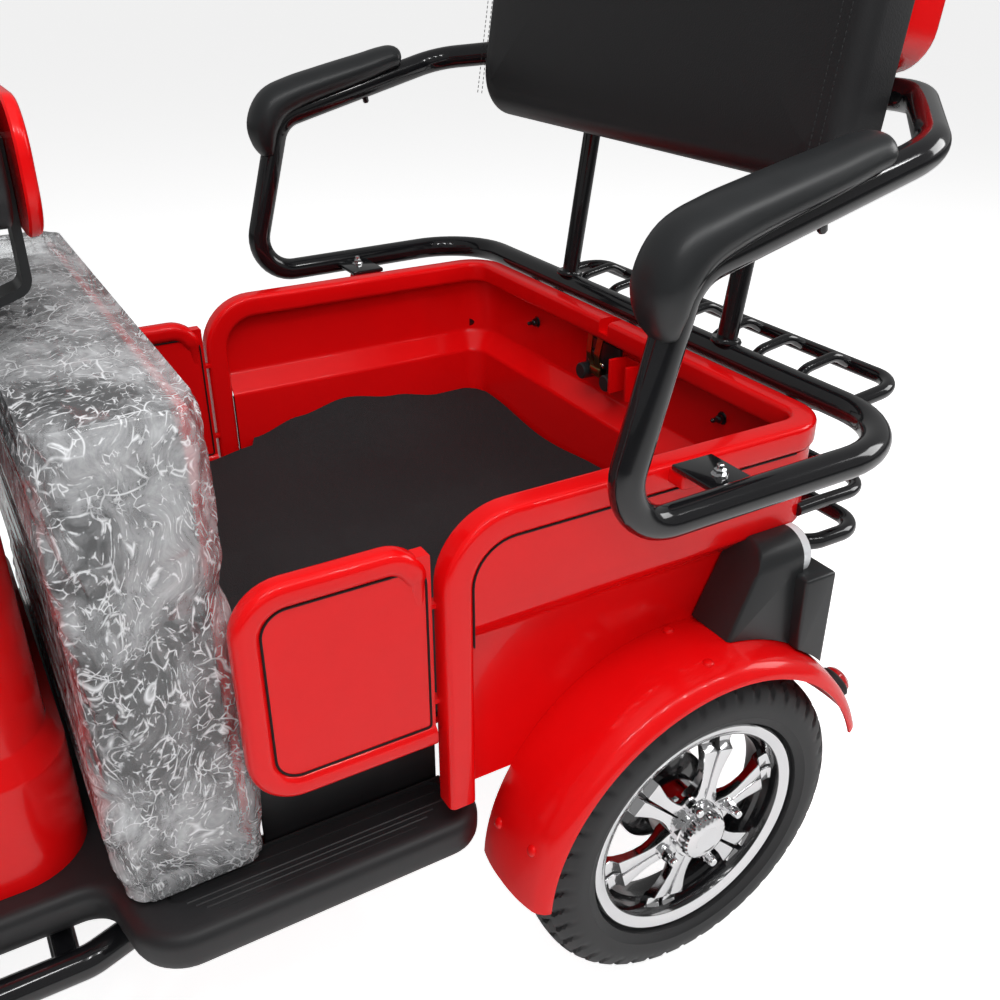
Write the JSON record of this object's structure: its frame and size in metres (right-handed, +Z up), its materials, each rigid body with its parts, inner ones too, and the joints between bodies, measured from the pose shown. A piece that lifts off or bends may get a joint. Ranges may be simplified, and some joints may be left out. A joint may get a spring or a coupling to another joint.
{
  "type": "electric tricycle",
  "caption": "Three-wheeled electric passenger cart with a rider's seat, an open tub with side doors, arm rails, a padded backrest and a rear rack.",
  "frame": {"origin": "middle of the bounding box, on the ground", "axes": "+Z up, the front faces -Y, the vehicle's left side is +X"},
  "size_m": [0.999, 2.2781, 1.208],
  "materials": {
    "gloss_red_paint": "gloss",
    "gloss_black_tube": "gloss",
    "moulded_black": "fine grain",
    "black_leather": "grained",
    "black_rubber": "matt",
    "tyre_rubber": "matt",
    "polished_alloy": "polished",
    "dark_iron": "painted",
    "clear_lens": "clear",
    "amber_lens": "clear over amber",
    "red_lens": "red"
  },
  "bodies": {
    "chassis": {"chassis_frame": "gloss_black_tube", "leaf_spring_left": "dark_iron", "leaf_spring_right": "dark_iron", "rear_axle": "dark_iron", "floor_pan": "moulded_black", "tub_shell": "gloss_red_paint", "floor_mat": "black_rubber", "tub_frame": "gloss_red_paint", "tub_latch": "moulded_black", "seat_barrel": "gloss_red_paint", "battery_block": "dark_iron", "bench_base": "gloss_red_paint", "bench_cushion": "black_leather", "rest_frame": "gloss_black_tube", "backrest_cushion": "black_leather", "backrest_shell": "gloss_red_paint", "rear_rack": "gloss_black_tube", "leg_shield": "gloss_red_paint", "rear_fender_left": "gloss_red_paint", "rear_fender_right": "gloss_red_paint", "lamp_housing_left": "moulded_black", "lamp_housing_right": "moulded_black", "turn_lens_left": "amber_lens", "turn_lens_right": "amber_lens", "tail_lens_left": "red_lens", "tail_lens_right": "red_lens", "reflector_left": "red_lens", "reflector_right": "red_lens", "arm_pad_left": "black_leather", "arm_pad_right": "black_leather"},
    "steering": {"front_fork": "gloss_black_tube", "front_fender": "gloss_red_paint", "handlebar": "gloss_black_tube", "grip_left": "black_rubber", "grip_right": "black_rubber", "handlebar_cowl": "gloss_red_paint", "headlight": "clear_lens", "mirror_left": "moulded_black", "mirror_right": "moulded_black"},
    "front_wheel": {"tyre_front": "tyre_rubber", "rim_front": "polished_alloy"},
    "rear_left_wheel": {"tyre_rear_left": "tyre_rubber", "rim_rear_left": "polished_alloy"},
    "rear_right_wheel": {"tyre_rear_right": "tyre_rubber", "rim_rear_right": "polished_alloy"},
    "driver_seat": {"driver_seat_lid": "moulded_black", "driver_cushion": "black_leather", "driver_back_shell": "gloss_red_paint", "driver_back_cushion": "black_leather"},
    "left_door": {"door_left": "gloss_red_paint"},
    "right_door": {"door_right": "gloss_red_paint"}
  },
  "joints": [
    {"name": "steer", "type": "hinge", "parent": "chassis", "child": "steering", "pos_m": [0, -0.90859, 0.1908], "axis": [0, 0.4067, 0.9135], "range_deg": [-40, 40]},
    {"name": "front_wheel_spin", "type": "hinge", "parent": "steering", "child": "front_wheel", "pos_m": [0, -0.936, 0.203], "axis": [1, 0, 0], "continuous": true},
    {"name": "rear_left_wheel_spin", "type": "hinge", "parent": "chassis", "child": "rear_left_wheel", "pos_m": [0.4065, 0.764, 0.203], "axis": [1, 0, 0], "continuous": true},
    {"name": "rear_right_wheel_spin", "type": "hinge", "parent": "chassis", "child": "rear_right_wheel", "pos_m": [-0.4065, 0.764, 0.203], "axis": [1, 0, 0], "continuous": true},
    {"name": "driver_seat_tip", "type": "hinge", "parent": "chassis", "child": "driver_seat", "pos_m": [0, -0.213, 0.7003], "axis": [1, 0, 0], "range_deg": [0, 60]},
    {"name": "left_door_swing", "type": "hinge", "parent": "chassis", "child": "left_door", "pos_m": [0.3575, 0.461, 0.4], "axis": [0, 0, 1], "range_deg": [0, 90]},
    {"name": "right_door_swing", "type": "hinge", "parent": "chassis", "child": "right_door", "pos_m": [-0.3575, 0.461, 0.4], "axis": [0, 0, -1], "range_deg": [0, 90]}
  ]
}
